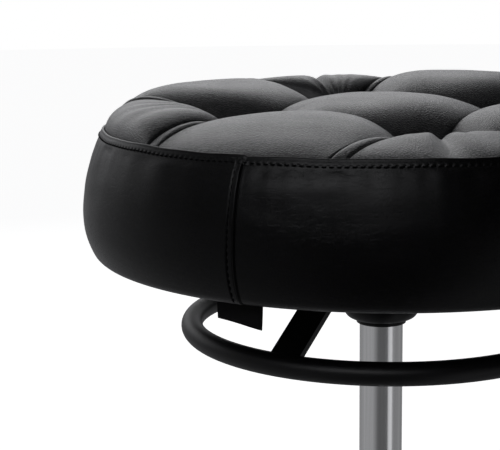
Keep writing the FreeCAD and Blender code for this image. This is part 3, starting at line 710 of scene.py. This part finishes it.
def band_lining(outline):
    """Inner line of the band, from the shoulder back down: the outer line set in by the skin."""
    step = np.gradient(outline, axis=0)
    step = step / np.hypot(*step.T)[:, None]
    inner = outline + BAND_SKIN * np.stack([-step[:, 1], step[:, 0]], -1)
    return inner[::-3]


def from_joint(turn):
    """Distance along the band from its joint, in millimetres, positive to the right."""
    return (np.mod(turn - math.radians(JOINT_DEG) + np.pi, 2.0 * np.pi) - np.pi) * SEAT_R


def band_waves(turn, z, below):
    """Waves over angle and height: puckers and gathers that fade below the hem, a bulge and creases."""
    pucker = np.cos(9.0 * turn + 0.7) + 0.8 * np.cos(23.0 * turn + 2.1) + 0.6 * np.cos(41.0 * turn + 0.2)
    gather = np.cos(97.0 * turn + 2.0 * np.cos(7.0 * turn)) * (1.0 + np.cos(5.0 * turn + 2.0)) / 2.0
    bulge = np.cos(5.0 * turn + 1.1) * np.cos((z - SEAT_Z) / BULGE_LENGTH)
    crease = np.cos((z - SEAT_Z) / CREASE_LENGTH + 1.5 * np.cos(11.0 * turn)) * np.cos(3.0 * turn + 2.2)
    fading = PUCKER * pucker * np.exp(-below / PUCKER_FADE) + GATHER * gather * np.exp(-below / GATHER_FADE)
    return fading + BULGE * bulge + CREASE * crease


def joint_puff(across, below):
    """Fuller stretch right of the joint: a ramp up and one down across, and a bell below the hem."""
    up = np.clip((across - JOINT_PUFF_FROM) / JOINT_PUFF_RISE, 0.0, 1.0)
    down = np.clip((JOINT_PUFF_TO - across) / JOINT_PUFF_FALL, 0.0, 1.0)
    return JOINT_PUFF * up * down * np.exp(-((below - JOINT_PUFF_DROP) / JOINT_PUFF_HALF) ** 2)


def joint_lap(across):
    """Lapped joint: a soft step that rises to the joint from the left, less grooves beside and under it."""
    step = 1.0 / (1.0 + np.exp(np.clip(across / JOINT_LAP_EDGE, -40.0, 40.0)))
    lap = JOINT_RISE * step * np.exp(np.clip(across, None, 0.0) / JOINT_LAP_REACH)
    groove = JOINT_GROOVE * np.exp(-((across - JOINT_GROOVE_AT) / JOINT_GROOVE_HALF) ** 2)
    sewn = JOINT_STITCH_GROOVE * np.exp(-((across + JOINT_STITCH) / JOINT_STITCH_HALF) ** 2)
    return lap - groove - sewn


def seat_side(material):
    """Band turned about the seat's axis: section by angle, plus its waves, its joint's puff and its lap."""
    outline = band_outline()
    section = np.concatenate([outline, band_lining(outline), outline[:1]])
    near = math.radians(JOINT_DEG) + np.linspace(-JOINT_NEAR, JOINT_NEAR, 49) / SEAT_R
    turn = np.sort(np.concatenate([np.linspace(-np.pi, np.pi, BAND_TURNS, endpoint=False), near]))[None, :]
    radius = section[:, 0][:, None] + 0.0 * turn
    z = section[:, 1][:, None] + 0.0 * turn
    outer = (np.arange(len(section)) < len(outline))[:, None]
    below = np.clip(HEM_LOW - z, 0.0, None)
    grown = np.clip((z - SEAT_Z - WAVES_FROM) / WAVES_GROW, 0.0, 1.0)
    free = grown * np.clip(below / WAVES_HEM_GAP, 0.0, 1.0) * outer
    across = from_joint(turn)
    radius = radius + (band_waves(turn, z, below) + joint_puff(across, below)) * free
    open_part = np.clip((radius - WRAP_R - JOINT_START) / JOINT_START_FADE, 0.0, 1.0) * outer
    radius = radius + joint_lap(across) * open_part
    u, v = turn * SEAT_R * MM, run_along(section) * MM
    sheet = Sheet()
    sheet.add(radius * np.cos(turn), radius * np.sin(turn), z, u, v, closed=True)
    made = sheet.piece("seat_side", material, "seat")
    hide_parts("side_band")


def hem_face(z):
    """Radius of the hem's outer face at a height."""
    return shoulder_r(z) + HEM_PROUD + HEM_BULGE * np.sin(np.pi * np.clip((z - HEM_LOW) / HEM, 0.0, 1.0))


def hem_wander(turn):
    """Slow rise and fall of the hem round the seat."""
    slow, quick = HEM_WANDER
    return slow * np.cos(13.0 * turn + 0.4) + quick * np.cos(31.0 * turn)


def stitch_holes():
    """Number of stitches round the hem."""
    return round(2.0 * np.pi * SEAM_R / STITCH_PITCH)


def seat_hem(material):
    """Folded strip over the seam: a closed section by angle, drawn in at every stitch hole.

    At the band's joint it swells into a knot with a slit, and its right end steps down.
    """
    low_z, high_z = HEM_LOW + HEM_EDGE, SEAM_Z - HEM_TOP_DROP
    low, high = hem_face(low_z), hem_face(high_z)
    face = np.linspace(low_z, high_z, 7)
    inner = [low - HEM_FOLD, HEM_LOW + HEM_FOLD_RISE]
    section = np.concatenate([
        np.array([inner, [low - 1.2, HEM_LOW + 0.1]]),
        arc((low - HEM_EDGE, low_z), HEM_EDGE, -100.0, 0.0, 5),
        np.stack([hem_face(face), face], -1)[1:],
        arc((high - HEM_TOP_ROUND, high_z), HEM_TOP_ROUND, 0.0, 150.0, 7)[1:],
        np.array([[high - 1.7, SEAM_Z - 2.0], inner]),
    ])
    turn = np.linspace(-np.pi, np.pi, HEM_STEPS, endpoint=False)[None, :]
    radius = section[:, 0][:, None] + 0.0 * turn
    z = section[:, 1][:, None] + hem_wander(turn)
    height = section[:, 1][:, None] - HEM_LOW
    pull = (0.5 + 0.5 * np.cos(stitch_holes() * turn)) ** 2
    front = section[:, 0][:, None] > low - 1.0
    radius = radius - HOLE_PULL * pull * np.exp(-((height - STITCH_RISE) / HOLE_PULL_HALF) ** 2) * front
    z = z + HOLE_LIFT * pull * np.exp(-height / HOLE_LIFT_FADE) * front
    across = from_joint(turn)
    knot = 0.8 * np.exp(-(across / 4.0) ** 2) - np.exp(-((across - 1.0) / 0.5) ** 2)
    step = 1.0 / (1.0 + np.exp(np.clip((0.8 - across) * 4.0, -40.0, 40.0)))
    radius = radius + knot * front
    z = z - step * np.exp(-np.abs(across) / 9.0)
    u, v = turn * SEAT_R * MM, run_along(section) * MM
    sheet = Sheet()
    sheet.add(radius * np.cos(turn), radius * np.sin(turn), z, u, v, closed=True)
    sheet.piece("seat_hem", material, "seat")


def stitches(sheet, centres, along, out):
    """Short capsules of thread: a round section carried along each stitch and sunk at both ends."""
    share = np.linspace(-1.0, 1.0, 7)[None, :, None, None]
    around = np.linspace(0.0, 2.0 * np.pi, 6, endpoint=False)[None, None, :, None]
    across = np.cross(along, out)[:, None, None, :]
    centres, along, out = (rows[:, None, None, :] for rows in (centres, along, out))
    line = centres + share * along * STITCH_LENGTH / 2.0 + 0.6 * STITCH_R * (1.0 - share ** 2) * out
    fat = STITCH_R * np.sqrt(1.0 - share ** 6)
    points = line + fat * (np.cos(around) * out + np.sin(around) * across)
    sheet.add(points[..., 0], points[..., 1], points[..., 2], closed=True)


def seat_stitches(material):
    """Topstitching along the hem's lower edge, and one row down the left of the band's joint."""
    sheet = Sheet()
    count = stitch_holes()
    turn = (np.arange(count) + 0.5) * 2.0 * np.pi / count
    out = np.stack([np.cos(turn), np.sin(turn), 0.0 * turn], -1)
    along = np.stack([-np.sin(turn), np.cos(turn), 0.0 * turn], -1)
    centres = out * (hem_face(HEM_LOW + STITCH_RISE) - 0.1)
    centres[:, 2] = HEM_LOW + STITCH_RISE + hem_wander(turn)
    stitches(sheet, centres, along, out)
    outline = band_outline()[6:]
    lengths = run_along(outline)[:, 0]
    place = np.arange(STITCH_PITCH, lengths[-1] - HEM - 1.0, STITCH_PITCH)
    radius, height = (np.interp(place, lengths, outline[:, axis]) for axis in (0, 1))
    step = np.gradient(np.stack([radius, height], -1), axis=0)
    step = step / np.hypot(*step.T)[:, None]
    angle = math.radians(JOINT_DEG) - JOINT_STITCH / SEAT_R
    ray = np.array([math.cos(angle), math.sin(angle), 0.0])
    up = np.array([0.0, 0.0, 1.0])
    along = step[:, :1] * ray + step[:, 1:] * up
    out = step[:, 1:] * ray - step[:, :1] * up
    centres = radius[:, None] * ray + height[:, None] * up + (JOINT_RISE * 0.75 - 0.25) * out
    stitches(sheet, centres, along, out)
    sheet.piece("seat_stitches", material, "seat", weld=0.001)


# Cloth trim

def bare_label(material):
    """Strip of woven tape folded once: two layers and a half-round fold, with a slight curl and tilt."""
    rise = np.linspace(0.0, LABEL_DROP + LABEL_TUCK, 14)
    bend = np.linspace(0.0, np.pi, 9)[1:-1]
    depth = np.concatenate([0.0 * rise + LABEL_FOLD, LABEL_FOLD * np.cos(bend), 0.0 * rise - LABEL_FOLD])
    drop = np.concatenate([rise, rise[-1] + LABEL_FOLD * np.sin(bend), rise[::-1]])
    across = np.linspace(-LABEL_WIDTH / 2.0, LABEL_WIDTH / 2.0, 31)[None, :]
    share = (drop / LABEL_DROP)[:, None]
    curl = LABEL_CURL * np.sin(across / 8.0 + 0.5) * share ** 2
    out = LABEL_R + depth[:, None] + curl + LABEL_LEAN * share
    tilt = (LABEL_WAVE * np.cos(across / 6.0) - LABEL_TILT * across) * share
    height = SEAT_Z + 0.4 - drop[:, None] + tilt
    angle = math.radians(LABEL_DEG)
    x = out * math.cos(angle) - across * math.sin(angle)
    y = out * math.sin(angle) + across * math.cos(angle)
    lengths = run_along(np.stack([depth, drop], -1))
    sheet = Sheet()
    sheet.add(x, y, height, across * MM, lengths * MM)
    made = sheet.piece("bare_label", material, "seat")
    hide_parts("side_label")


def under_cloth(material):
    """Round cloth stapled under the board: a disc that sags a little between the plate and its edge."""
    turn = np.linspace(-np.pi, np.pi, 144, endpoint=False)[None, :]
    inside, outside = np.linspace(30.0, PLATE_R, 5), np.linspace(PLATE_R, DUST_R, 24)[1:]
    radius = np.concatenate([[0.0], inside, outside])[:, None]
    share = np.clip((radius - PLATE_R) / (DUST_R - 10.0 - PLATE_R), 0.0, 1.0)
    sag = DUST_SAG * np.sin(np.pi * share) * (1.0 + 0.3 * np.cos(5.0 * turn + 0.6))
    tug = 0.25 * np.cos(24.0 * turn) * np.clip((radius - DUST_R + 16.0) / 16.0, 0.0, 1.0)
    sheet = Sheet()
    sheet.add(radius * np.cos(turn), radius * np.sin(turn), DUST_Z - sag - np.abs(tug), closed=True)
    made = sheet.piece("under_cloth", material, "seat")
    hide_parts("dust_cover")


# Stage, light and camera

def stage_floor():
    """Wide pale disc that shows white to the camera and keeps a shadow; reflections see through it."""
    material, f = finish("pale_floor")
    seen = f.node("ShaderNodeLightPath", {}, {}, "Is Camera Ray")
    mirrored = f.node("ShaderNodeLightPath", {}, {}, "Is Glossy Ray")
    grain = f.noise(f.coords(), 3.0)
    tone = f.blend(grain, (0.80, 0.80, 0.80), (0.82, 0.82, 0.82))
    matt = f.node("ShaderNodeBsdfDiffuse", {}, {"Color": tone})
    glow = f.node("ShaderNodeEmission", {}, {"Color": (1.0, 1.0, 1.0, 1.0), "Strength": seen * 0.85})
    both = f.node("ShaderNodeAddShader", {}, {0: matt, 1: glow})
    clear = f.node("ShaderNodeBsdfTransparent", {}, {})
    mixed = f.node("ShaderNodeMixShader", {}, {0: mirrored, 1: both, 2: clear})
    f.node("ShaderNodeOutputMaterial", {}, {"Surface": mixed})
    turn = np.linspace(0.0, 2.0 * np.pi, FLOOR_TURNS, endpoint=False)[None, :]
    radius = np.array(FLOOR_RINGS)[:, None]
    points = np.stack([radius * np.cos(turn), radius * np.sin(turn), 0.0 * radius * turn - FLOOR_DROP], -1)
    mesh = bpy.data.meshes.new("floor")
    mesh.from_pydata(points.reshape(-1, 3), [], quads(len(FLOOR_RINGS), FLOOR_TURNS, True))
    mesh.materials.append(material)
    floor = bpy.data.objects.new("floor", mesh)
    bpy.context.scene.collection.objects.link(floor)


def studio_world():
    """White all round for the camera.

    Reflections see a table with a strip of light to the right, a wide soft box low behind, one high in
    front, and a dim room.
    """
    world = bpy.data.worlds.new("studio")
    bpy.context.scene.world = world
    world.use_nodes = True
    f = Finish(world.node_tree)
    parts = f.node("ShaderNodeSeparateXYZ", {}, {"Vector": f.coords("Generated")})
    x, y, z = (Field(f, socket) for socket in parts.socket.node.outputs)
    level = (1.0 - z * z) ** 0.5
    east, north = x / level, y / level
    back = f.ramp(north, 0.1, 0.8)
    rear = f.ramp(north * 0.906 - east * 0.423, 0.35, 0.85)
    left = f.ramp(east * -1.0, 0.15, 0.75)
    right = f.ramp(east, 0.75, 0.90)
    strip = f.ramp(east * 0.777 - north * 0.629, 0.965, 0.990)
    table = 0.17 + 0.36 * left * (1.0 - 0.8 * back) + 0.20 * right + 0.85 * strip + 0.15 * back
    band = rear * f.ramp(z, 0.04, 0.14) * f.ramp(z, 0.90, 0.50)
    box = f.ramp(z, 0.34, 0.50) * f.ramp(z, 0.86, 0.72) * f.ramp(east * -0.342 - north * 0.94, 0.80, 0.94)
    room = 0.03 + 0.32 * rear + 0.10 * left + 0.72 * band + 6.0 * box
    above = f.ramp(z, -0.02, 0.06)
    mirror = table * (1.0 - above) + room * above
    camera = f.node("ShaderNodeLightPath", {}, {}, "Is Camera Ray")
    glossy = f.node("ShaderNodeLightPath", {}, {}, "Is Glossy Ray")
    light = camera + (1.0 - camera) * (glossy * mirror + (1.0 - glossy) * 0.15)
    tone = f.blend(camera, (0.965, 0.97, 1.0), (1.0, 1.0, 1.0))
    ground = f.node("ShaderNodeBackground", {}, {"Color": tone, "Strength": light})
    f.node("ShaderNodeOutputWorld", {}, {"Surface": ground})


def soft_lamp(name, place, aim, size, power):
    """Square soft box at a place, turned to a point."""
    light = bpy.data.lights.new(name, "AREA")
    light.shape = "RECTANGLE"
    light.size, light.size_y = size
    light.energy = power
    lamp = bpy.data.objects.new(name, light)
    lamp.location = place
    lamp.rotation_euler = (Vector(aim) - Vector(place)).to_track_quat("-Z", "Y").to_euler()
    bpy.context.scene.collection.objects.link(lamp)


def photo_camera():
    """Camera turned by its yaw, tilted down by its pitch and rolled about its own line of sight."""
    yaw, pitch, roll = (math.radians(turn) for turn in (CAMERA_YAW_DEG, CAMERA_PITCH_DEG, CAMERA_ROLL_DEG))
    forward = Vector((-math.sin(yaw) * math.cos(pitch), math.cos(yaw) * math.cos(pitch), -math.sin(pitch)))
    right = Vector((math.cos(yaw), math.sin(yaw), 0.0))
    up = right.cross(forward)
    side = math.cos(roll) * right + math.sin(roll) * up
    top = math.cos(roll) * up - math.sin(roll) * right
    data = bpy.data.cameras.new("photo_camera")
    data.lens = CAMERA_LENS
    data.sensor_width = CAMERA_SENSOR
    data.clip_start, data.clip_end = CAMERA_CLIP
    camera = bpy.data.objects.new("photo_camera", data)
    turned = Matrix((side, top, -forward)).transposed().to_4x4()
    camera.matrix_world = Matrix.Translation(CAMERA_PLACE) @ turned
    bpy.context.scene.collection.objects.link(camera)
    bpy.context.scene.camera = camera


# Finishes of the carried-over solids, by the record's slot

FINISHES = {
    "plywood": plywood(),
    "cord": cloth("tuft_cord", (0.42, 0.40, 0.36), (0.72, 0.70, 0.64), 700.0, 0.15),
    "black_cloth": cloth("black_lining", (0.008, 0.008, 0.009), (0.03, 0.03, 0.032), 420.0, 0.15),
    "black_steel": black_steel(),
    "zinc_steel": steel("zinc_plate", (0.50, 0.50, 0.50), (0.68, 0.68, 0.66), 0.26, 300.0),
    "column_steel": steel("ground_steel", (0.42, 0.42, 0.42), (0.58, 0.58, 0.58), 0.11, 700.0),
    "black_plastic": plastic("black_nylon", (0.010, 0.010, 0.011), (0.018, 0.018, 0.019), 0.45, 900.0),
    "black_rubber": plastic("black_rubber", (0.008, 0.008, 0.008), (0.014, 0.014, 0.014), 0.7, 600.0),
    "chrome": chrome(),
    "caster_plastic": plastic("caster_shell", (0.012, 0.012, 0.013), (0.022, 0.022, 0.023), 0.40, 1100.0),
    "wheel_plastic": plastic("wheel_tread", (0.020, 0.020, 0.021), (0.034, 0.034, 0.035), 0.55, 700.0),
}

for entry in frame["record"]["subparts"]:
    coat = FINISHES.get(entry["material_slot"])
    if coat:
        node = frame["nodes"][entry["node"]]
        node.data.materials.clear()
        node.data.materials.append(coat)

hide = leather("pebbled_leather", 640.0, 0.0, 0.00056,
               (0.0030, 0.0031, 0.0035), (0.0058, 0.0059, 0.0065), 0.22, 0.33)
# The band and hem use a copy of the seat leather. Its finer pebbles and creases are its own, but its darker
# colour and weaker shine are painted shade for the side, which is lit less than the top.
shaded_band_hide = leather("creased_leather_painted_shade", 1600.0, 1.6, 0.00007,
                    (0.0010, 0.0010, 0.0012), (0.0024, 0.0025, 0.0028), 0.08, 0.29)
tape = cloth("label_tape", (0.0012, 0.0012, 0.0014), (0.0042, 0.0042, 0.0046), 1900.0, 0.02)

seat_top(hide)
drawn_cords(FINISHES["cord"])
seat_side(shaded_band_hide)
seat_hem(shaded_band_hide)
seat_stitches(thread())
bare_label(tape)
under_cloth(FINISHES["black_cloth"])
stage_floor()
studio_world()
for lamp in LAMPS:
    soft_lamp(*lamp)
photo_camera()
bpy.context.scene.view_settings.view_transform = "Standard"
